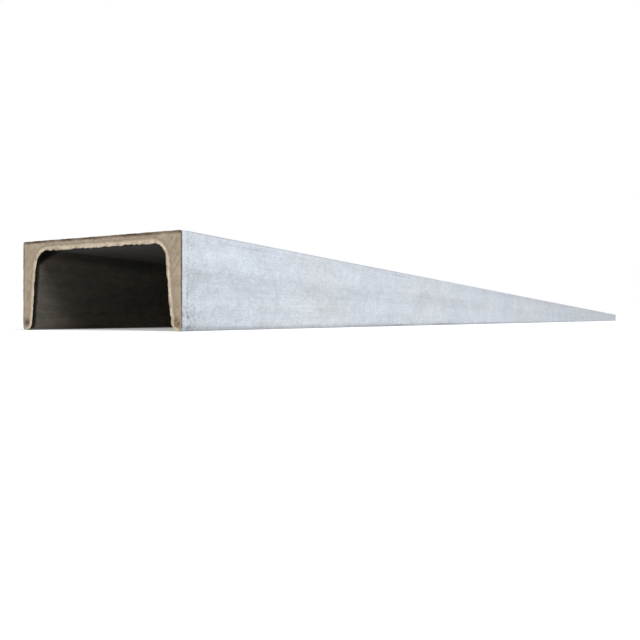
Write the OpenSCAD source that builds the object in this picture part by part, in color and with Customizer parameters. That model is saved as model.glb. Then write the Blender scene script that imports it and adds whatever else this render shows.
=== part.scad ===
// Hot-rolled steel channel with taper flanges, one straight bar sawn square at both ends.
// It lies on the toes of its flanges with the web on top, and its length runs along Y.
// The origin is on the resting plane, under the middle of the bar.

/* [Section] */
// Depth of the section, across the outer faces of the two flanges
section_depth = 120; // [80:1:200]
// Width of each flange, from the back of the web to the toe
flange_width = 53; // [40:0.5:75]
// Thickness of the web
web_thickness = 5.5; // [4:0.1:9]
// Thickness of each flange, halfway between the web and the toe
flange_thickness = 9; // [8.2:0.1:13]
// Taper of each flange's inner face, as millimetres of thickness gained for each one towards the web
flange_taper = 0.1; // [0:0.01:0.14]

/* [Rolled edges] */
// Radius of the fillet where the web meets each flange
root_radius = 9; // [3:0.5:15]
// Radius of each toe's inner edge
toe_radius = 4.5; // [1:0.1:5.2]
// Radius of each toe's outer edge, where the toe is thick enough for it
toe_edge_radius = 1.8; // [0.3:0.1:2]
// Radius of the two outer corners, where the back of the web meets the flanges
heel_radius = 1.5; // [0.3:0.1:4]

/* [Bar] */
// Length of the bar
bar_length = 6000; // [1000:50:12000]

/* [Hidden] */
$fn = 96;
web_underside = flange_width - web_thickness;
outer_x = section_depth / 2;
root_corner = [inner_x(web_underside), web_underside];
toe_inner_corner = [inner_x(0), 0];
toe_outer_corner = [outer_x, 0];
heel_corner = [outer_x, flange_width];
// The outer edge's round takes at most four fifths of what the inner edge's round leaves of the toe
toe_left_over = outer_x - inner_x(0) - toe_radius * tan((90 - atan(flange_taper)) / 2);
toe_edge_round = min(toe_edge_radius, 0.8 * toe_left_over);

// Distance of a flange's tapered inner face from the middle of the section, at height z above the toes
function inner_x(z) = outer_x - flange_thickness - flange_taper * (z - web_underside / 2);

function unit(v) = v / norm(v);

// What lies between a sharp corner and the round that takes its place, in material or in air.
// The corner's two edges run towards the points before and after it.
module corner_sliver(before, corner, after, radius) {
    // The round is set this much past tangent, so that it crosses the two flats beside it
    past_tangent = 0.0005;
    to_before = unit(before - corner);
    to_after = unit(after - corner);
    half_angle = acos(to_before * to_after) / 2;
    rise = radius - past_tangent;
    centre = corner + unit(to_before + to_after) * rise / sin(half_angle);
    corners = [corner, corner + to_before * rise / tan(half_angle), corner + to_after * rise / tan(half_angle)];
    reach = [for (p = corners) centre + 1.1 * (p - centre)];
    difference() {
        polygon([reach[0], reach[1], centre, reach[2]]);
        translate(centre) circle(r = radius);
    }
}

module both_flanges() {
    children();
    mirror([1, 0]) children();
}

// The section with sharp corners, its toes at y = 0 and the back of its web at y = flange_width
module sharp_section() {
    right_side = [root_corner, toe_inner_corner, toe_outer_corner, heel_corner];
    left_side = [for (i = [3:-1:0]) [-right_side[i][0], right_side[i][1]]];
    polygon(concat(right_side, left_side));
}

module root_fillet() {
    corner_sliver([0, web_underside], root_corner, toe_inner_corner, root_radius);
}

module rounded_off_edges() {
    corner_sliver(root_corner, toe_inner_corner, toe_outer_corner, toe_radius);
    corner_sliver(toe_inner_corner, toe_outer_corner, heel_corner, toe_edge_round);
    corner_sliver(toe_outer_corner, heel_corner, [0, flange_width], heel_radius);
}

module rolled_section() {
    difference() {
        union() {
            sharp_section();
            both_flanges() root_fillet();
        }
        both_flanges() rounded_off_edges();
    }
}

module channel() {
    color("#c6ced4")
        rotate([90, 0, 0])
            linear_extrude(height = bar_length, center = true)
                rolled_section();
}

channel();
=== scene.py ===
"""Looks, light and camera of a hot-rolled steel channel: pale rolled skin, sawn ends and their burrs."""

from functools import reduce
from math import cos, pi, radians, sin, sqrt, tan
from types import SimpleNamespace

import bpy
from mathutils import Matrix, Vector


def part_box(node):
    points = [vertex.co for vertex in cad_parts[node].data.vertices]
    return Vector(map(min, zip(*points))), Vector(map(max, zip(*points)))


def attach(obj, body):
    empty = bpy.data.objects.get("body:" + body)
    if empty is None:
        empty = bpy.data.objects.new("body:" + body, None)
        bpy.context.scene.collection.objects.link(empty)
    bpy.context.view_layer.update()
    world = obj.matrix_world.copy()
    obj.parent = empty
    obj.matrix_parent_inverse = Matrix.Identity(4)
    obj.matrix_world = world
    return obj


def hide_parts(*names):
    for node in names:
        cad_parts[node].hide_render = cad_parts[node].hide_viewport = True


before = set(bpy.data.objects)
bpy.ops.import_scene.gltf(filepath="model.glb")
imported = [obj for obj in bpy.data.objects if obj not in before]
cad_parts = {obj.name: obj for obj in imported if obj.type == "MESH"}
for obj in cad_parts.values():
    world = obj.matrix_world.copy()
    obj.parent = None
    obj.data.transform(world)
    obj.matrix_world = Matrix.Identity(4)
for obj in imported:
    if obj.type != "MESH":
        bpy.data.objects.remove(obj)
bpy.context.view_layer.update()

# ---------------------------------------------------------------------------
# Sizes of the bar, in metres
# ---------------------------------------------------------------------------

LOW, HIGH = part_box("channel")
OUTER_X = HIGH[0]
WEB_BACK = HIGH[2]
BAR_LENGTH = HIGH[1] - LOW[1]
BAR_END = HIGH[1]

WEB_THICKNESS = 0.0055
FLANGE_THICKNESS = 0.009
FLANGE_TAPER = 0.1
ROOT_RADIUS = 0.009
TOE_RADIUS = 0.0045
TOE_EDGE_RADIUS = 0.0018
HEEL_RADIUS = 0.0015
WEB_UNDERSIDE = WEB_BACK - WEB_THICKNESS

# The cut face stands this far behind the burr's tips, which reach the bar's full length
BURR_HEIGHT = 0.0006
# Round the toes the middle of the burr lies this far inside the edge
TOE_INSET = 0.0008
# Points of the outlines lie about this far apart
OUTLINE_STEP = 0.001


def inner_x(z):
    """Distance of a flange's tapered inner face from the middle of the section, at height z."""
    return OUTER_X - FLANGE_THICKNESS - FLANGE_TAPER * (z - WEB_UNDERSIDE / 2)


# ---------------------------------------------------------------------------
# The section's outline
# ---------------------------------------------------------------------------

ROOT = (inner_x(WEB_UNDERSIDE), WEB_UNDERSIDE)
FEWEST_ARC_PIECES = 6


def rounded_corner(before, corner, after, radius):
    """Points of the arc that rounds a corner, from the edge before it to the edge after it."""
    a = (Vector(before) - Vector(corner)).normalized()
    b = (Vector(after) - Vector(corner)).normalized()
    half_angle = a.angle(b) / 2
    centre = Vector(corner) + (a + b).normalized() * radius / sin(half_angle)
    start = Vector(corner) + a * radius / tan(half_angle) - centre
    turn = (Vector(corner) + b * radius / tan(half_angle) - centre).angle_signed(start)
    count = max(FEWEST_ARC_PIECES, round(abs(turn) * radius / OUTLINE_STEP))
    return [
        centre + Vector((start.x * cos(t) - start.y * sin(t), start.x * sin(t) + start.y * cos(t)))
        for t in (turn * i / count for i in range(count + 1))
    ]


def filled_line(points):
    """The same line with extra points, so that none are more than a step apart."""
    line = [points[0]]
    for a, b in zip(points, points[1:]):
        pieces = max(1, round((b - a).length / OUTLINE_STEP))
        line += [a.lerp(b, i / pieces) for i in range(1, pieces + 1)]
    return line


def mirrored(line):
    """The line followed back on the other flange."""
    return [Vector((-p.x, p.y)) for p in reversed(line)]


def trough_line(toe_inside, toe_outside):
    """From the middle of the web's underside, down the right flange's inner face and round its toe."""
    return (
        [Vector((0, WEB_UNDERSIDE))]
        + rounded_corner((0, WEB_UNDERSIDE), ROOT, toe_inside, ROOT_RADIUS)
        + rounded_corner(ROOT, toe_inside, toe_outside, TOE_RADIUS)
    )


def section_outline():
    """The whole outline once round, without a repeated point."""
    toe_inside = (inner_x(0), 0)
    toe_outside = (OUTER_X, 0)
    heel = (OUTER_X, WEB_BACK)
    outside_line = (
        rounded_corner(toe_inside, toe_outside, heel, TOE_EDGE_RADIUS)
        + rounded_corner(toe_outside, heel, (0, WEB_BACK), HEEL_RADIUS)
        + [Vector((0, WEB_BACK))]
    )
    right = filled_line(trough_line(toe_inside, toe_outside) + outside_line)
    return right[:-1] + mirrored(right)[:-1]


def torn_edge():
    """Where the saw leaves a burr: up one toe, over the web's underside and round the other toe. It lies
    right on the edge of the trough, and a little inside the edge round the toes."""
    toe_inside = (inner_x(TOE_INSET), TOE_INSET)
    toe_outside = (OUTER_X - TOE_INSET, TOE_INSET)
    heel = (OUTER_X - TOE_INSET, WEB_BACK)
    round_the_toe = rounded_corner(toe_inside, toe_outside, heel, TOE_EDGE_RADIUS)
    right = filled_line(trough_line(toe_inside, toe_outside) + round_the_toe)
    return mirrored(right)[:-1] + right


# ---------------------------------------------------------------------------
# Building node trees
# ---------------------------------------------------------------------------


class Nodes:
    """Adds nodes to one tree. Wherever an input is given, it may be a value or another node's output."""

    def __init__(self, tree):
        self.tree = tree

    def add(self, kind, inputs=None, **settings):
        node = self.tree.nodes.new(kind)
        for name, value in settings.items():
            setattr(node, name, value)
        for key, value in (inputs or {}).items():
            self.put(node.inputs[key], value)
        return node

    def put(self, socket, value):
        if isinstance(value, bpy.types.NodeSocket):
            self.tree.links.new(value, socket)
        else:
            socket.default_value = value

    def math(self, operation, a, b=0.0):
        return self.add("ShaderNodeMath", {0: a, 1: b}, operation=operation).outputs[0]

    def plus(self, a, b):
        return self.math("ADD", a, b)

    def minus(self, a, b):
        return self.math("SUBTRACT", a, b)

    def times(self, a, b):
        return self.math("MULTIPLY", a, b)

    def over(self, a, b):
        return self.math("DIVIDE", a, b)

    def squared(self, a):
        return self.math("POWER", a, 2.0)

    def amount(self, a):
        return self.math("ABSOLUTE", a)

    def least(self, a, b):
        return self.math("MINIMUM", a, b)

    def most(self, a, b):
        return self.math("MAXIMUM", a, b)

    def distance(self, a, b):
        """The length of the long side of a right-angled triangle with sides a and b."""
        return self.math("SQRT", self.plus(self.squared(a), self.squared(b)))

    def total(self, *parts):
        """The sum of several patterns, each given with its share."""
        return reduce(self.plus, [self.times(pattern, share) for pattern, share in parts])

    def remap(self, value, low, high, to_low=0.0, to_high=1.0, smooth=True):
        """Follows value from low to high with a number from to_low to to_high, and holds it beyond."""
        kind = "SMOOTHSTEP" if smooth else "LINEAR"
        inputs = {"Value": value, "From Min": low, "From Max": high, "To Min": to_low, "To Max": to_high}
        return self.add("ShaderNodeMapRange", inputs, interpolation_type=kind).outputs["Result"]

    def rise(self, value, start, end):
        """0 until value reaches the start, and 1 from the end on."""
        return self.remap(value, start, end)

    def fade(self, value, start, end):
        """1 until value reaches the start, and 0 from the end on."""
        return self.remap(value, start, end, 1.0, 0.0)

    def vary(self, noise, low, high):
        """Turns noise, which seldom leaves 0.3 to 0.7, into a number from low to high."""
        return self.remap(noise, 0.3, 0.7, low, high)

    def band(self, value, middle, spread):
        """1 where value is at the middle, falling to 0 at the spread to either side."""
        return self.fade(self.amount(self.minus(value, middle)), 0.0, spread)

    def apart(self, vector):
        """The three parts of a vector."""
        return self.add("ShaderNodeSeparateXYZ", {0: vector}).outputs

    def together(self, x=0.0, y=0.0, z=0.0):
        return self.add("ShaderNodeCombineXYZ", {0: x, 1: y, 2: z}).outputs[0]

    def stretched(self, position, scale):
        """The position with each axis multiplied by its own scale."""
        return self.add("ShaderNodeVectorMath", {0: position, 1: scale}, operation="MULTIPLY").outputs[0]

    def scaled(self, vector, factor):
        return self.add("ShaderNodeVectorMath", {0: vector, "Scale": factor}, operation="SCALE").outputs[0]

    def noise(self, position, scale, detail=2.0, roughness=0.5, distortion=0.0):
        """Noise from 0 to 1. Scale is features per metre, one number for each axis or one for all."""
        if isinstance(scale, tuple):
            position, scale = self.stretched(position, scale), 1.0
        inputs = {
            "Vector": position,
            "Scale": scale,
            "Detail": detail,
            "Roughness": roughness,
            "Distortion": distortion,
        }
        return self.add("ShaderNodeTexNoise", inputs).outputs[0]

    def wander(self, noise, reach):
        """Turns noise into a length that wanders half the reach to either side of nothing."""
        return self.times(self.minus(noise, 0.5), reach)

    def mix(self, factor, a, b):
        """Colour a where the factor is 0 and colour b where it is 1."""
        # Sockets of one name exist for numbers, vectors and colours, so the colours' are taken by place
        node = self.add("ShaderNodeMix", {"Factor": factor}, data_type="RGBA")
        self.put(node.inputs[6], a)
        self.put(node.inputs[7], b)
        return node.outputs[2]

    def shaded(self, colour, factor):
        """The colour made lighter or darker by a factor around 1."""
        return self.scaled(colour, factor)


# ---------------------------------------------------------------------------
# Colours and what the finishes share
# ---------------------------------------------------------------------------

COOL_GREY = (0.574, 0.618, 0.677, 1)
WARM_GREY = (0.600, 0.626, 0.662, 1)
PALE_RIM = (0.580, 0.648, 0.712, 1)
# The trough's mill scale, darker than its own colour with painted shade
MILL_SCALE_AND_SHADE = (0.132, 0.128, 0.106, 1)
SCALE_DUST_AND_SHADE = (0.208, 0.174, 0.145, 1)
DARK_SPECK = (0.150, 0.130, 0.120, 1)
TOE_GREY = (0.270, 0.270, 0.265, 1)
BLUE_SHADOW = (0.250, 0.275, 0.310, 1)
LIGHT_RUST = (0.420, 0.310, 0.210, 1)

SAWN_TAN = (0.420, 0.335, 0.245, 1)
SAWN_PALE = (0.560, 0.465, 0.355, 1)
SAWN_DARK = (0.230, 0.180, 0.125, 1)
EDGE_RUST = (0.080, 0.052, 0.032, 1)
RED_RUST = (0.210, 0.105, 0.060, 1)
# Pale torn metal, lightened further as painted highlight
BURR_PALE_AND_HIGHLIGHT = (0.700, 0.600, 0.460, 1)

# What the metal reflects at a glancing angle, and how much its dusty surface reflects straight on
GLANCE_GREY = (0.440, 0.500, 0.570, 1)
SPECULAR_LEVEL = 0.1

SKIN_METALLIC = 0.30
TROUGH_METALLIC = 0.05
BARE_METALLIC = 0.35


def new_material(name):
    material = bpy.data.materials.new(name)
    material.use_nodes = True
    material.node_tree.nodes.clear()
    return material, Nodes(material.node_tree)


def finish_material(n, colour, roughness, height, relief, metallic):
    """Joins colour, roughness and a height map to the surface. Relief is the height map's depth in metres."""
    bump = n.add("ShaderNodeBump", {"Height": height, "Strength": 1.0, "Distance": relief})
    inputs = {
        "Base Color": colour,
        "Roughness": roughness,
        "Metallic": metallic,
        "Specular IOR Level": SPECULAR_LEVEL,
        "Specular Tint": GLANCE_GREY,
        "Normal": bump.outputs[0],
    }
    surface = n.add("ShaderNodeBsdfPrincipled", inputs)
    n.add("ShaderNodeOutputMaterial", {"Surface": surface.outputs[0]})


def object_position(n):
    return n.add("ShaderNodeTexCoord").outputs["Object"]


def spot_on_bar(n):
    """Where a point lies on the bar. X and y count outwards from the bar's middle, and depth counts
    inwards from the flanges' outer faces and the web's back."""
    position = object_position(n)
    signed_x, signed_y, z = n.apart(position)
    x = n.amount(signed_x)
    y = n.amount(signed_y)
    depth = n.least(n.minus(OUTER_X, x), n.minus(WEB_BACK, z))
    return SimpleNamespace(position=position, signed_x=signed_x, x=x, y=y, z=z, depth=depth)


# ---------------------------------------------------------------------------
# The rolled skin
# ---------------------------------------------------------------------------

# Each pair of lengths says where something starts to change, and where it has changed for good.
# From the cut inwards: a pale rim, a hairline, smudges of soot, spots in the lower corner, and pits
RIM_ENDS = (0.0030, 0.0044)
HAIRLINE_AT = 0.0048
HAIRLINE_SPREAD = 0.0013
SOOT_ENDS = (0.002, 0.030)
SPOTS_END = (0.006, 0.022)
PITS_END = (0.0, 0.045)
# From the web's back downwards: a faint line, below the heel with its painted shade and faint painted
# highlight
HEEL_SHADE_STARTS = 0.0016
HEEL_SHADE_FULL = 0.0007
HEEL_LINE_AT = 0.0040
HEEL_LINE_SPREAD = 0.0012
# From the toes upwards: a dirty edge with painted shade on the flange, pits, and the spots in the lower
# corner
DIRT_AND_SHADE_ENDS = (0.0012, 0.0034)
TOE_PITS_END = (0.0, 0.012)
SPOTS_END_ABOVE = (0.006, 0.024)
# From the outer faces inwards: the toes turn grey, and the trough dark, with mill scale and painted shade,
# and rough
TOE_GREY_STARTS = (0.0014, 0.0026)
TROUGH_DARK_STARTS = (0.0040, 0.0060)
TROUGH_ROUGH_STARTS = (0.003, 0.006)
# From the cut inwards, in the trough: a painted shadow behind the burr, and painted shade near the mouth that
# gives way to painted light deeper in
BURR_SHADOW_ENDS = (0.0026, 0.0050)
MOUTH_SHADE_ENDS = (0.02, 0.15)
# The trough's roof, where painted shade makes it darkest
ROOF_SHADE_STARTS = (WEB_UNDERSIDE - 0.010, WEB_UNDERSIDE - 0.001)


def skin_patterns(n, position):
    """The noises that more than one part of the skin follows."""
    return SimpleNamespace(
        clouds=n.noise(position, (40, 15, 40), detail=6, roughness=0.62, distortion=0.5),
        patches=n.noise(position, (170, 110, 170), detail=5, roughness=0.65, distortion=1.2),
        streaks=n.noise(position, (1100, 16, 1100), detail=3, roughness=0.6),
        grain=n.noise(position, (1000, 700, 1000), detail=2, distortion=0.8),
        broken=n.rise(n.noise(position, (300, 14, 300), detail=4), 0.46, 0.66),
        ragged=n.wander(n.noise(position, 260, detail=4), reach=0.003),
    )


def clean_skin(n, spot, skin):
    """Cool and warm greys, clouded and mottled, with streaks along the bar, and faint long stripes of painted
    reflection.
    """
    tint = n.noise(spot.position, (18, 4, 18), detail=3)
    # Faint painted reflection in long stripes along the bar
    reflection_bands = n.noise(spot.position, (110, 1.1, 110), detail=3)
    mottle = n.noise(spot.position, (400, 260, 400), detail=4, roughness=0.6, distortion=1.4)
    colour = n.mix(n.rise(tint, 0.35, 0.65), COOL_GREY, WARM_GREY)
    tones = [
        n.vary(skin.clouds, 0.94, 1.05),
        n.vary(reflection_bands, 0.96, 1.04),
        n.vary(skin.patches, 0.93, 1.06),
        n.vary(mottle, 0.93, 1.06),
        n.vary(skin.streaks, 0.95, 1.04),
        n.vary(skin.grain, 0.93, 1.06),
    ]
    return n.shaded(colour, reduce(n.times, tones))


def with_heel(n, spot, skin, colour):
    """A faint broken line runs below the heel. The heel itself is bluer and paler with a faint painted
    highlight, and then darker with painted shade on its rounded edge.
    """
    line = n.band(n.minus(WEB_BACK, spot.z), HEEL_LINE_AT, HEEL_LINE_SPREAD)
    colour = n.mix(n.times(n.times(line, skin.broken), 0.25), colour, DARK_SPECK)
    near_top = n.rise(spot.z, WEB_BACK - HEEL_SHADE_STARTS, WEB_BACK - HEEL_SHADE_FULL)
    near_side = n.rise(spot.x, OUTER_X - HEEL_SHADE_STARTS, OUTER_X - HEEL_SHADE_FULL)
    heel = n.least(near_top, near_side)
    # A faint painted highlight on the heel
    colour = n.mix(n.times(heel, n.remap(skin.patches, 0.35, 0.6, 0.0, 0.4)), colour, PALE_RIM)
    # Painted shade on the heel's rounded edge
    return n.shaded(colour, n.remap(heel, 0.0, 1.0, 1.0, 0.82))


def with_saw_marks(n, spot, skin, from_end, colour):
    """The saw leaves a narrow pale rim with a broken dark hairline behind it, smudges of soot, and
    a crowd of spots in the lower corner."""
    rim_depth = n.plus(from_end, skin.ragged)
    rim = n.times(n.fade(rim_depth, *RIM_ENDS), n.remap(skin.patches, 0.35, 0.6, 0.3, 0.95))
    colour = n.mix(rim, colour, PALE_RIM)

    dashes = n.rise(n.noise(spot.position, (200, 200, 330), detail=3, roughness=0.6), 0.46, 0.58)
    dashes = n.times(dashes, n.remap(spot.z, 0.006, 0.040, 1.0, 0.45))
    hairline = n.times(n.band(rim_depth, HAIRLINE_AT, HAIRLINE_SPREAD), dashes)
    colour = n.mix(n.times(hairline, 0.9), colour, BLUE_SHADOW)

    soot = n.rise(n.noise(spot.position, (85, 50, 85), detail=4, roughness=0.6), 0.50, 0.68)
    smudge = n.times(n.times(soot, n.fade(from_end, *SOOT_ENDS)), n.rise(skin.patches, 0.40, 0.62))
    colour = n.mix(n.times(smudge, 0.45), colour, BLUE_SHADOW)

    lower_corner = n.times(n.fade(spot.z, *SPOTS_END_ABOVE), n.fade(from_end, *SPOTS_END))
    spots = n.rise(n.noise(spot.position, 520, detail=3, roughness=0.6), 0.52, 0.62)
    return n.mix(n.times(n.times(lower_corner, spots), 0.65), colour, BLUE_SHADOW)


def pit_pattern(n, spot, from_end):
    """Small pits, crowded behind the cut and along the flange's lower edge and nearly absent elsewhere."""
    crowd = n.rise(n.noise(spot.position, (45, 24, 45), detail=3), 0.42, 0.7)
    near_cut = n.remap(from_end, *PITS_END, 1.0, 0.10)
    near_toe = n.remap(spot.z, *TOE_PITS_END, 0.8, 0.0)
    density = n.most(n.times(crowd, near_cut), n.times(crowd, near_toe))
    field = n.noise(spot.position, (1300, 700, 1300), detail=3, roughness=0.7)
    return n.rise(n.plus(field, n.times(density, 0.14)), 0.69, 0.78)


def with_edge_dirt_shade_and_rust(n, spot, skin, colour):
    """The flange's lower edge is dirty and darkened with painted shade, and a breath of rust lies here and
    there.
    """
    near_edge = n.fade(n.plus(spot.z, n.times(skin.ragged, 0.5)), *DIRT_AND_SHADE_ENDS)
    # The flange's lower edge, dirty and darkened with painted shade
    dirt_and_shade = n.times(near_edge, n.remap(skin.broken, 0.0, 1.0, 0.25, 0.60))
    on_outer_face = n.fade(spot.depth, 0.0, 0.001)
    colour = n.mix(n.times(dirt_and_shade, on_outer_face), colour, DARK_SPECK)
    rust = n.rise(n.noise(spot.position, (30, 9, 30), detail=5, roughness=0.65), 0.60, 0.78)
    return n.mix(n.times(rust, 0.15), colour, LIGHT_RUST)


def trough_scale_and_shade(n, spot, skin, from_end):
    """Dark dusty mill scale, darkened further with painted shade: more near the cut and under the web, and
    nearly black with a painted shadow behind the burr, while painted light brightens it deeper in.
    """
    dust = n.noise(spot.position, (60, 8, 60), detail=5, roughness=0.65, distortion=0.6)
    # Mill scale and its dust, darkened with painted shade
    colour = n.mix(n.rise(dust, 0.38, 0.64), MILL_SCALE_AND_SHADE, SCALE_DUST_AND_SHADE)
    # Painted shade near the mouth, and painted light deeper in
    colour = n.shaded(colour, n.remap(from_end, *MOUTH_SHADE_ENDS, 0.68, 1.85))
    colour = n.shaded(colour, n.times(n.vary(skin.streaks, 0.93, 1.07), n.vary(skin.patches, 0.85, 1.15)))
    # Painted shade under the web
    colour = n.shaded(colour, n.remap(spot.z, *ROOF_SHADE_STARTS, 1.0, 0.45))
    # The painted shadow behind the burr is three times as deep under the web as on the flanges
    shadow_depth = n.remap(spot.z, *ROOF_SHADE_STARTS, 1.0, 3.0)
    burr_shadow = n.over(n.plus(from_end, n.times(skin.ragged, 0.3)), shadow_depth)
    # A painted shadow, nearly black, close behind the burr
    return n.shaded(colour, n.remap(burr_shadow, *BURR_SHADOW_ENDS, 0.12, 1.0))


def rolled_skin():
    """Pale blue-grey rolled steel outside, dark dusty mill scale with painted shade in the trough, grey toes
    between them.
    """
    material, n = new_material("rolled_steel_skin")
    spot = spot_on_bar(n)
    skin = skin_patterns(n, spot.position)
    from_end = n.minus(BAR_END, spot.y)
    pits = pit_pattern(n, spot, from_end)

    colour = clean_skin(n, spot, skin)
    colour = with_heel(n, spot, skin, colour)
    colour = with_saw_marks(n, spot, skin, from_end, colour)
    colour = n.mix(n.times(pits, 0.7), colour, DARK_SPECK)
    colour = with_edge_dirt_shade_and_rust(n, spot, skin, colour)
    colour = n.mix(n.rise(spot.depth, *TOE_GREY_STARTS), colour, TOE_GREY)
    # The trough's mill scale with its painted shade
    dark_scale_and_shade = trough_scale_and_shade(n, spot, skin, from_end)
    colour = n.mix(n.rise(spot.depth, *TROUGH_DARK_STARTS), colour, dark_scale_and_shade)

    inside = n.rise(spot.depth, *TROUGH_ROUGH_STARTS)
    roughness = n.plus(n.vary(skin.clouds, 0.66, 0.52), n.total((pits, 0.2), (inside, 0.32)))
    metallic = n.remap(inside, 0.0, 1.0, SKIN_METALLIC, TROUGH_METALLIC)
    rolled = n.total((skin.clouds, 0.4), (skin.patches, 0.3), (skin.streaks, 0.2), (skin.grain, 0.12))
    height = n.minus(rolled, n.times(pits, 0.4))
    finish_material(n, colour, roughness, height, relief=0.00025, metallic=metallic)
    return material


# ---------------------------------------------------------------------------
# The sawn ends
# ---------------------------------------------------------------------------

# The point about which the saw blade turned, beside and below the bar
BLADE_X = 0.40
BLADE_Z = -0.21
# From the trough's edge outwards: the burr's pale root, partly painted highlight, and a dull groove
LIP_HIGHLIGHT_ENDS = (0.0009, 0.0017)
GROOVE_AT = 0.0024
GROOVE_SPREAD = 0.0010
# From the outer edges inwards: rust
SIDE_RUST_ENDS = (0.0005, 0.0016)
BACK_RUST_ENDS = (0.0010, 0.0025)
# The rust in a toe: its height, its reach up and down, and how far it keeps from the edges
TOE_RUST_AT = 0.0048
TOE_RUST_SPREAD = 0.0034
TOE_RUST_STARTS = (0.0010, 0.0026)


def depth_from_trough(n, spot):
    """How far a point of the cut face lies from the edge of the trough."""
    lean = sqrt(1 + FLANGE_TAPER**2)
    # Both are measured from lines that cross in the middle of the root's arc
    up = n.minus(spot.z, WEB_UNDERSIDE - ROOT_RADIUS)
    face = n.minus(inner_x(0), n.times(spot.z, FLANGE_TAPER))
    out = n.plus(n.times(n.minus(spot.x, face), 1 / lean), ROOT_RADIUS)
    past_both = n.distance(n.most(up, 0.0), n.most(out, 0.0))
    before_both = n.least(n.most(up, out), 0.0)
    return n.minus(n.plus(past_both, before_both), ROOT_RADIUS)


def saw_arcs(n, spot):
    """Fine scratches and coarser cuts, in arcs about the blade's middle."""
    across = n.minus(spot.signed_x, BLADE_X)
    upwards = n.minus(spot.z, BLADE_Z)
    on_blade = n.together(n.distance(across, upwards), n.math("ARCTAN2", upwards, across), spot.y)
    scratches = n.noise(on_blade, (1900, 26, 40), detail=4, roughness=0.65)
    coarse_cuts = n.noise(on_blade, (420, 9, 40), detail=3, roughness=0.6)
    return scratches, coarse_cuts


def with_torn_lip(n, from_trough, clouds, colour):
    """The root of the burr is pale, as torn metal and as painted highlight, with a dull groove beside it."""
    groove = n.times(n.band(from_trough, GROOVE_AT, GROOVE_SPREAD), n.rise(clouds, 0.35, 0.6))
    colour = n.mix(n.times(groove, 0.5), colour, SAWN_DARK)
    # The burr's pale root, torn metal and painted highlight
    lip = n.fade(from_trough, *LIP_HIGHLIGHT_ENDS)
    return n.mix(n.times(lip, 0.85), colour, BURR_PALE_AND_HIGHLIGHT)


def with_edge_rust(n, spot, from_trough, wander, blotches, colour):
    """Rust creeps in from the outer edges, thick along the web's back and in long broken stretches up
    the flanges, and sits in the middle of each toe."""
    stretches = n.rise(n.noise(spot.position, 55, detail=3), 0.42, 0.60)
    from_side = n.plus(n.minus(OUTER_X, spot.x), n.times(wander, 0.6))
    from_back = n.plus(n.minus(WEB_BACK, spot.z), n.times(wander, 1.2))
    along_sides = n.fade(from_side, *SIDE_RUST_ENDS)
    along_back = n.fade(from_back, *BACK_RUST_ENDS)
    colour = n.mix(n.times(along_sides, n.plus(0.45, n.times(blotches, 0.4))), colour, RED_RUST)
    colour = n.mix(n.times(along_sides, n.times(stretches, 0.7)), colour, EDGE_RUST)
    colour = n.mix(n.times(along_back, n.plus(0.55, n.times(stretches, 0.4))), colour, EDGE_RUST)

    from_any_edge = n.least(spot.depth, from_trough)
    at_toe = n.band(spot.z, TOE_RUST_AT, TOE_RUST_SPREAD)
    in_toe = n.times(at_toe, n.rise(from_any_edge, *TOE_RUST_STARTS))
    return n.mix(n.times(in_toe, n.remap(blotches, 0.36, 0.56, 0.2, 0.9)), colour, EDGE_RUST)


def sawn_face():
    """Tan sawn steel: arcs left by the saw, a pale torn lip round the trough, and rust at the outer edges."""
    material, n = new_material("sawn_steel")
    spot = spot_on_bar(n)
    from_trough = depth_from_trough(n, spot)
    scratches, coarse_cuts = saw_arcs(n, spot)
    clouds = n.noise(spot.position, 85, detail=6, roughness=0.62, distortion=0.5)
    blotches = n.noise(spot.position, 260, detail=4, roughness=0.6)
    grain = n.noise(spot.position, 1700, detail=2)
    wander = n.wander(n.noise(spot.position, 330, detail=4, roughness=0.6), reach=0.0018)
    pits = n.rise(n.noise(spot.position, 620, detail=3, roughness=0.65), 0.68, 0.76)

    colour = n.mix(n.rise(clouds, 0.32, 0.68), SAWN_TAN, SAWN_PALE)
    colour = n.mix(n.times(n.rise(blotches, 0.50, 0.70), 0.35), colour, SAWN_DARK)
    colour = n.mix(n.times(n.rise(coarse_cuts, 0.54, 0.70), 0.30), colour, SAWN_DARK)
    colour = n.shaded(colour, n.times(n.vary(scratches, 0.90, 1.07), n.vary(grain, 0.93, 1.06)))
    colour = with_torn_lip(n, n.plus(from_trough, wander), clouds, colour)
    colour = with_edge_rust(n, spot, from_trough, wander, blotches, colour)
    colour = n.mix(n.times(pits, 0.5), colour, EDGE_RUST)

    roughness = n.vary(scratches, 0.60, 0.44)
    sawn = n.total((scratches, 0.45), (coarse_cuts, 0.5), (clouds, 0.5))
    height = n.minus(sawn, n.times(pits, 0.5))
    finish_material(n, colour, roughness, height, relief=0.0003, metallic=BARE_METALLIC)
    return material


def burr_metal():
    """The torn lip itself: paler than the cut, partly as painted highlight, with brown left in its hollows.
    """
    material, n = new_material("saw_burr")
    position = object_position(n)
    patches = n.noise(position, 160, detail=4, roughness=0.6)
    fine = n.noise(position, 1300, detail=3, roughness=0.6)
    # Pale torn metal with painted highlight, patched with tan
    colour = n.mix(n.rise(patches, 0.42, 0.66), BURR_PALE_AND_HIGHLIGHT, SAWN_TAN)
    colour = n.mix(n.times(n.rise(fine, 0.60, 0.74), 0.5), colour, EDGE_RUST)
    height = n.total((patches, 0.5), (fine, 0.5))
    finish_material(n, colour, n.vary(patches, 0.40, 0.58), height, relief=0.0002, metallic=BARE_METALLIC)
    return material


# ---------------------------------------------------------------------------
# Geometry Nodes
# ---------------------------------------------------------------------------


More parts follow.
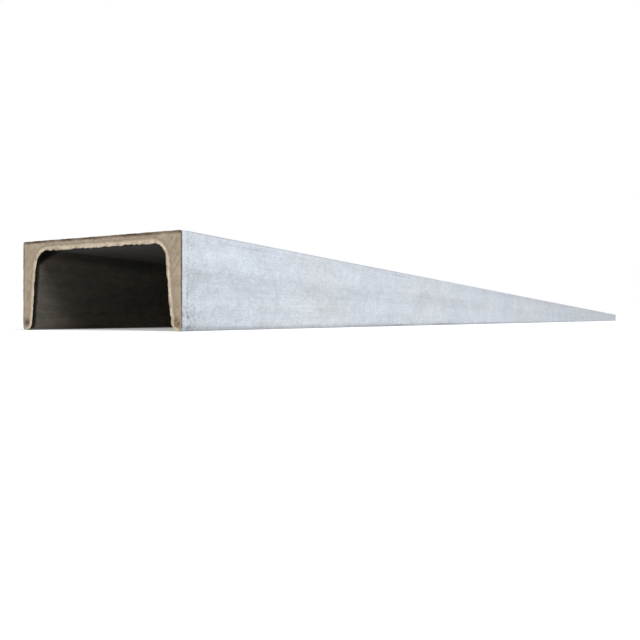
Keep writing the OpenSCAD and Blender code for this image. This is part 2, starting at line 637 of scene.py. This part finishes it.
def new_tree(name, inputs):
    """An empty tree with a geometry input and output, and the named inputs after it."""
    tree = bpy.data.node_groups.new(name, "GeometryNodeTree")
    tree.interface.new_socket("Geometry", in_out="INPUT", socket_type="NodeSocketGeometry")
    for label, kind in inputs.items():
        tree.interface.new_socket(label, in_out="INPUT", socket_type=f"NodeSocket{kind}")
    tree.interface.new_socket("Geometry", in_out="OUTPUT", socket_type="NodeSocketGeometry")
    n = Nodes(tree)
    return tree, n, n.add("NodeGroupInput").outputs


def run_tree(name, base_mesh, tree, values):
    """Runs the tree once on the base mesh and returns an object that holds the plain result."""
    piece = bpy.data.objects.new(name, base_mesh)
    bpy.context.scene.collection.objects.link(piece)
    modifier = piece.modifiers.new("build", "NODES")
    modifier.node_group = tree
    for item in tree.interface.items_tree:
        if item.in_out == "INPUT" and item.name in values:
            modifier[item.identifier] = values[item.name]
    depsgraph = bpy.context.evaluated_depsgraph_get()
    result = bpy.data.meshes.new_from_object(piece.evaluated_get(depsgraph))
    piece.modifiers.clear()
    piece.data = result
    result.name = name
    return piece


def greater(n, value, limit):
    inputs = {0: value, 1: limit}
    return n.add("FunctionNodeCompare", inputs, data_type="FLOAT", operation="GREATER_THAN").outputs[0]


def moved(n, geometry, **inputs):
    """The geometry with its points set to a new Position, or moved by an Offset."""
    return n.add("GeometryNodeSetPosition", {"Geometry": geometry, **inputs}).outputs[0]


def with_material(n, geometry, material, **inputs):
    inputs = {"Geometry": geometry, "Material": material, **inputs}
    return n.add("GeometryNodeSetMaterial", inputs).outputs[0]


def in_section_plane(n, vector):
    """The vector without its part along the bar."""
    return n.stretched(vector, (1, 0, 1))


def bar_path(n, length, half_stations):
    """A straight line along Y with stations that lie closer together near its ends."""
    stations = n.plus(n.times(half_stations, 2.0), 1.0)
    line = n.add("GeometryNodeMeshLine", {"Count": stations, "Offset": (0, 1, 0)})
    index = n.add("GeometryNodeInputIndex").outputs[0]
    # From -1 at one end to 1 at the other, first evenly and then eased
    even = n.minus(n.over(index, half_stations), 1.0)
    eased = n.minus(1.0, n.squared(n.minus(1.0, n.amount(even))))
    along = n.times(n.times(n.math("SIGN", even), eased), n.times(length, 0.5))
    line = moved(n, line.outputs[0], Position=n.together(y=along))
    path = n.add("GeometryNodeMeshToCurve", {"Mesh": line})
    return n.add("GeometryNodeSetCurveNormal", {"Curve": path.outputs[0]}, mode="Z_UP").outputs[0]


def shaded_smooth(n, geometry, sharp_above):
    """Smooth shading, apart from the edges that turn more than the angle given."""
    smooth = n.add("GeometryNodeSetShadeSmooth", {"Geometry": geometry, "Shade Smooth": True})
    angle = n.add("GeometryNodeInputMeshEdgeAngle").outputs["Unsigned Angle"]
    inputs = {
        "Geometry": smooth.outputs[0],
        "Selection": greater(n, angle, sharp_above),
        "Shade Smooth": False,
    }
    return n.add("GeometryNodeSetShadeSmooth", inputs, domain="EDGE").outputs[0]


def rolled_bar_tree():
    """Sweeps the section along the bar, softens the cut edges and makes the rolled faces a little uneven."""
    tree, n, given = new_tree("rolled_bar", {
        "Length": "Float",
        "Half Stations": "Int",
        "Edge Softening": "Float",
        "Edge Depth": "Float",
        "Unevenness": "Float",
        "Sharp Above": "Float",
        "Skin": "Material",
        "Cut": "Material",
    })
    section = n.add("GeometryNodeMeshToCurve", {"Mesh": given["Geometry"]})
    swept = n.add("GeometryNodeCurveToMesh", {
        "Curve": bar_path(n, given["Length"], given["Half Stations"]),
        "Profile Curve": section.outputs[0],
        "Fill Caps": True,
    })
    # The sweep leaves the faces pointing inwards
    swept = n.add("GeometryNodeFlipFaces", {"Mesh": swept.outputs[0]})

    # Every point moves inwards: by an uneven amount everywhere, and by more close to the cut
    position = n.add("GeometryNodeInputPosition").outputs[0]
    normal = n.add("GeometryNodeInputNormal").outputs[0]
    from_end = n.minus(n.times(given["Length"], 0.5), n.amount(n.apart(position)[1]))
    softening = n.squared(n.remap(from_end, 0.0, given["Edge Depth"], 1.0, 0.0, smooth=False))
    softening = n.times(softening, given["Edge Softening"])
    ragged = n.vary(n.noise(position, 450, detail=3), 0.45, 1.3)
    uneven = n.times(n.noise(position, (70, 4, 70), detail=2), given["Unevenness"])
    inwards = n.times(n.plus(n.times(softening, ragged), uneven), -1.0)
    side_normal = n.add("ShaderNodeVectorMath", {0: in_section_plane(n, normal)}, operation="NORMALIZE")
    bar = moved(n, swept.outputs[0], Offset=n.scaled(side_normal.outputs[0], inwards))

    bar = shaded_smooth(n, bar, given["Sharp Above"])
    bar = n.add("GeometryNodeRealizeInstances", {"Geometry": bar}).outputs[0]
    bar = with_material(n, bar, given["Skin"])
    # The two cut faces are the ones that face along the bar
    is_cut = greater(n, n.amount(n.apart(normal)[1]), 0.9)
    bar = with_material(n, bar, given["Cut"], Selection=is_cut)
    n.add("NodeGroupOutput", {"Geometry": bar})
    return tree


def burr_width(n, position, given):
    """Uneven along the edge, narrower on the flanges than under the web, and thin at both tails."""
    torn = n.total((n.noise(position, 70, detail=2), 0.6), (n.noise(position, 420, detail=3), 0.4))
    width = n.remap(torn, 0.38, 0.62, given["Narrowest"], given["Widest"], smooth=False)
    under_web = given["Web Underside"]
    height = n.apart(position)[2]
    width = n.times(width, n.remap(height, n.times(under_web, 0.8), under_web, 0.7, 1.0))
    along = n.add("GeometryNodeSplineParameter").outputs["Factor"]
    from_tail = n.least(along, n.minus(1.0, along))
    return n.times(width, n.remap(from_tail, 0.0, 0.02, 0.15, 1.0))


def pressed_flat(n, position, given):
    """A point of the lip, pressed towards the cut and held inside the bar's own box."""
    x, y, z = n.apart(position)
    side = n.math("SIGN", y)
    proud = n.times(n.minus(n.times(y, side), given["Cut Plane"]), given["Flatness"])
    y = n.times(n.least(n.plus(given["Cut Plane"], proud), given["Tip"]), side)
    x = n.most(n.least(x, given["Outer X"]), n.times(given["Outer X"], -1.0))
    return n.together(x, y, n.most(z, 0.0))


def saw_burr_tree():
    """Runs a thin uneven lip of torn metal along the edge that the saw left."""
    tree, n, given = new_tree("saw_burr", {
        "Spacing": "Float",
        "Points Round": "Int",
        "Narrowest": "Float",
        "Widest": "Float",
        "Flatness": "Float",
        "Raggedness": "Float",
        "Cut Plane": "Float",
        "Tip": "Float",
        "Outer X": "Float",
        "Web Underside": "Float",
        "Metal": "Material",
    })
    position = n.add("GeometryNodeInputPosition").outputs[0]
    edge = n.add("GeometryNodeMeshToCurve", {"Mesh": given["Geometry"]}).outputs[0]
    edge = n.add("GeometryNodeResampleCurve", {"Curve": edge, "Length": given["Spacing"]}, mode="LENGTH")
    ring = n.add("GeometryNodeCurvePrimitiveCircle", {"Resolution": given["Points Round"], "Radius": 1.0})
    lip = n.add("GeometryNodeCurveToMesh", {
        "Curve": edge.outputs[0],
        "Profile Curve": ring.outputs[0],
        "Scale": n.times(burr_width(n, position, given), 0.5),
        "Fill Caps": True,
    })

    # Its rim is ragged in the plane of the cut
    normal = n.add("GeometryNodeInputNormal").outputs[0]
    fine = n.wander(n.noise(position, 950, detail=3, roughness=0.6), given["Raggedness"])
    lip = moved(n, lip.outputs[0], Offset=n.scaled(in_section_plane(n, normal), fine))
    lip = moved(n, lip, Position=pressed_flat(n, position, given))

    lip = n.add("GeometryNodeSetShadeSmooth", {"Geometry": lip, "Shade Smooth": True}).outputs[0]
    lip = n.add("GeometryNodeRealizeInstances", {"Geometry": lip}).outputs[0]
    n.add("NodeGroupOutput", {"Geometry": with_material(n, lip, given["Metal"])})
    return tree


# ---------------------------------------------------------------------------
# The pieces
# ---------------------------------------------------------------------------


def line_mesh(name, lines, closed=False):
    """A mesh of edges only, along each line of points."""
    points, edges = [], []
    for line in lines:
        first = len(points)
        points += line
        edges += [(first + i, first + i + 1) for i in range(len(line) - 1)]
        if closed:
            edges.append((len(points) - 1, first))
    mesh = bpy.data.meshes.new(name)
    mesh.from_pydata([tuple(p) for p in points], edges, [])
    return mesh


def channel_bar():
    """The bar's visible body. A profile is swept with its Y downwards, so the section is laid upside down."""
    outline = [(p.x, -p.y, 0) for p in section_outline()]
    section = line_mesh("section_outline", [outline], closed=True)
    return run_tree("channel_bar", section, rolled_bar_tree(), {
        "Length": BAR_LENGTH - 2 * BURR_HEIGHT,
        "Half Stations": 45,
        "Edge Softening": 0.00025,
        "Edge Depth": 0.0012,
        "Unevenness": 0.00012,
        "Sharp Above": radians(35),
        "Skin": rolled_skin(),
        "Cut": sawn_face(),
    })


def saw_burrs():
    """The lips of torn metal on both cut faces."""
    cut_plane = BAR_END - BURR_HEIGHT
    lines = [[(p.x, end * cut_plane, p.y) for p in torn_edge()] for end in (-1, 1)]
    return run_tree("saw_burrs", line_mesh("burr_edges", lines), saw_burr_tree(), {
        "Spacing": 0.00045,
        "Points Round": 10,
        "Narrowest": 0.0007,
        "Widest": 0.0028,
        "Flatness": 0.42,
        "Raggedness": 0.0011,
        "Cut Plane": cut_plane,
        "Tip": BAR_END,
        "Outer X": OUTER_X,
        "Web Underside": WEB_UNDERSIDE,
        "Metal": burr_metal(),
    })


bar = channel_bar()
burrs = saw_burrs()

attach(bar, "root")
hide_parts("channel")
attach(burrs, "root")


# ---------------------------------------------------------------------------
# Floor, light and camera
# ---------------------------------------------------------------------------

WHITE = (1, 1, 1, 1)
# The floor lights the bar as a matt pale grey, and is shown paler, with some light of its own
FLOOR_GREY = (0.80, 0.80, 0.80, 1)
FLOOR_SHOWN = (0.95, 0.95, 0.95, 1)
FLOOR_LIFT = 0.34
FLOOR_REACH = 60.0


def shown(n):
    """1 where the camera sees something, straight or in metal or glass, and 0 where it only gives light."""
    path = n.add("ShaderNodeLightPath").outputs
    return n.most(path["Is Camera Ray"], n.most(path["Is Glossy Ray"], path["Is Transmission Ray"]))


def pale_floor():
    """A matt floor that keeps shadows, and is as white as the surroundings where it is fully lit."""
    corners = [(-1, -1), (1, -1), (1, 1), (-1, 1)]
    mesh = bpy.data.meshes.new("floor")
    mesh.from_pydata([(x * FLOOR_REACH, y * FLOOR_REACH, 0) for x, y in corners], [], [(0, 1, 2, 3)])
    floor = bpy.data.objects.new("floor", mesh)
    bpy.context.scene.collection.objects.link(floor)
    material, n = new_material("pale_floor")
    matt = n.add("ShaderNodeBsdfDiffuse", {"Color": FLOOR_GREY}).outputs[0]
    white = n.add("ShaderNodeBsdfDiffuse", {"Color": FLOOR_SHOWN}).outputs[0]
    lift = n.add("ShaderNodeEmission", {"Color": WHITE, "Strength": FLOOR_LIFT}).outputs[0]
    lifted = n.add("ShaderNodeAddShader", {0: white, 1: lift}).outputs[0]
    surface = n.add("ShaderNodeMixShader", {0: shown(n), 1: matt, 2: lifted}).outputs[0]
    n.add("ShaderNodeOutputMaterial", {"Surface": surface})
    mesh.materials.append(material)


def white_surroundings(strength):
    """White behind the bar and in its reflections. As even light on the bar they have the strength given."""
    world = bpy.data.worlds.new("surroundings")
    bpy.context.scene.world = world
    world.use_nodes = True
    world.node_tree.nodes.clear()
    n = Nodes(world.node_tree)
    level = n.plus(strength, n.times(shown(n), 1.0 - strength))
    sky = n.add("ShaderNodeBackground", {"Color": WHITE, "Strength": level})
    n.add("ShaderNodeOutputWorld", {"Surface": sky.outputs[0]})


def add_lamp(name, kind, place, direction):
    """A lamp at a place, which shines from the direction given and is not seen itself."""
    lamp = bpy.data.lights.new(name, kind)
    holder = bpy.data.objects.new(name, lamp)
    bpy.context.scene.collection.objects.link(holder)
    holder.location = place
    holder.rotation_euler = direction.to_track_quat("Z", "Y").to_euler()
    holder.visible_camera = False
    return lamp, holder


def soft_sun(name, direction, light, softness):
    """Even light along the whole bar. Softness is the angle that the source fills, in degrees."""
    lamp, _ = add_lamp(name, "SUN", (0, 0, 0), direction)
    lamp.energy = light
    lamp.angle = radians(softness)


def soft_box(name, aimed_at, direction, distance, width, light):
    """A round soft box that isn't mirrored in the metal. Light is what it gives at the place it is aimed
    at, in watts per square metre."""
    lamp, holder = add_lamp(name, "AREA", aimed_at + direction.normalized() * distance, direction)
    holder.visible_glossy = False
    lamp.shape = "DISK"
    lamp.size = width
    lamp.energy = light * pi * distance**2


def place_camera(distance, bearing, height, turn, lens):
    """Stands off the near end's right corner. Bearing and turn are measured from the bar's length, in
    degrees, and the lens is in millimetres."""
    camera = bpy.data.cameras.new("camera")
    camera.lens = lens
    camera.sensor_width = 36.0
    camera.clip_start = 0.01
    camera.clip_end = 200.0
    holder = bpy.data.objects.new("camera", camera)
    bpy.context.scene.collection.objects.link(holder)
    across = distance * sin(radians(bearing))
    back = distance * cos(radians(bearing))
    holder.location = (OUTER_X + across, -BAR_END - back, height)
    holder.rotation_euler = (radians(90), 0, radians(turn))
    bpy.context.scene.camera = holder


near_corner = Vector((OUTER_X, -BAR_END, 0))
light_from = Vector((0.76, -0.26, 0.60))

pale_floor()
white_surroundings(strength=0.55)
soft_sun("sun", light_from, light=0.9, softness=25)
soft_box("near_end_box", near_corner, light_from, distance=2.6, width=1.4, light=1.25)
place_camera(distance=0.34, bearing=38.7, height=0.006, turn=26.6, lens=36.225)

bpy.context.scene.view_settings.view_transform = "Standard"
